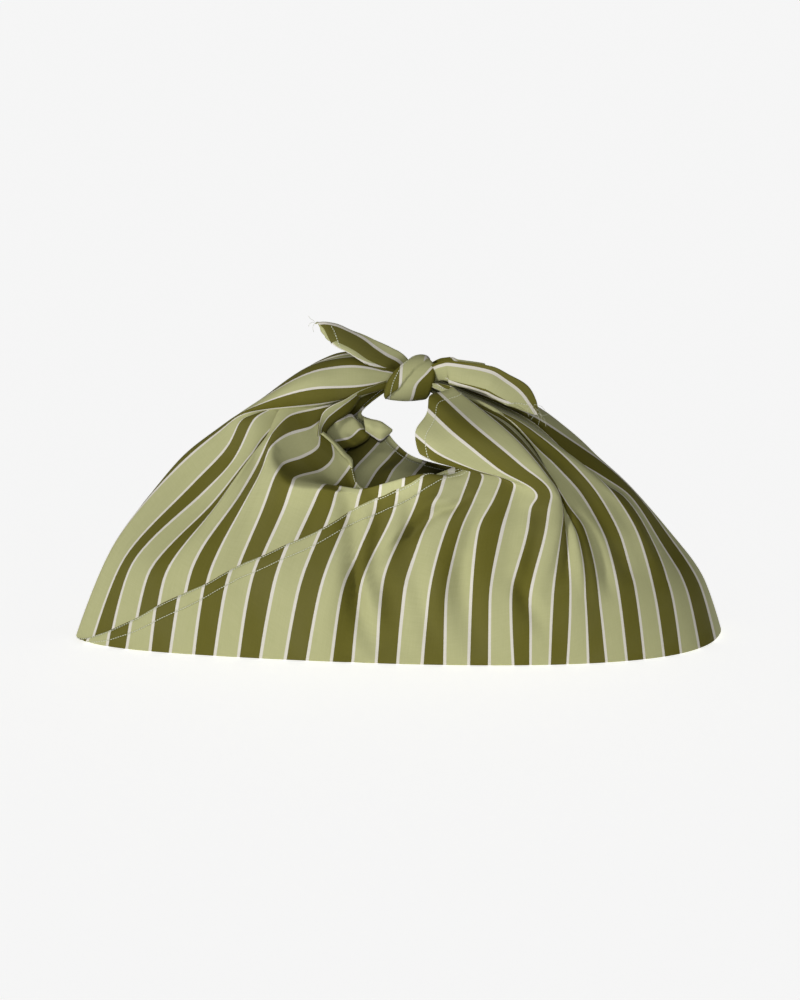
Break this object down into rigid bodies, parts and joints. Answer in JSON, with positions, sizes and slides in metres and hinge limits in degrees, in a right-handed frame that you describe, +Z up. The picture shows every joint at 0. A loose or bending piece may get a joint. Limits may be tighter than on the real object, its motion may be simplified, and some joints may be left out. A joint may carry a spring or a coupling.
{
  "type": "knotted tote bag",
  "caption": "Soft striped cloth bag: one long strip folded and sewn into a pouch, standing open, its two ears tied in a knot that makes the handle.",
  "frame": {"origin": "middle of the bag's box, on the surface that the bag rests on", "axes": "+X to the right along the bag's length as seen from the front, +Y to the back, +Z up"},
  "size_m": [0.6076, 0.2214, 0.2958],
  "materials": {
    "striped_cloth": "woven stripes in light sage and dark olive with thin white lines, a slight satin sheen"
  },
  "bodies": {
    "root": {"bag_cloth": "striped_cloth"}
  },
  "joints": []
}
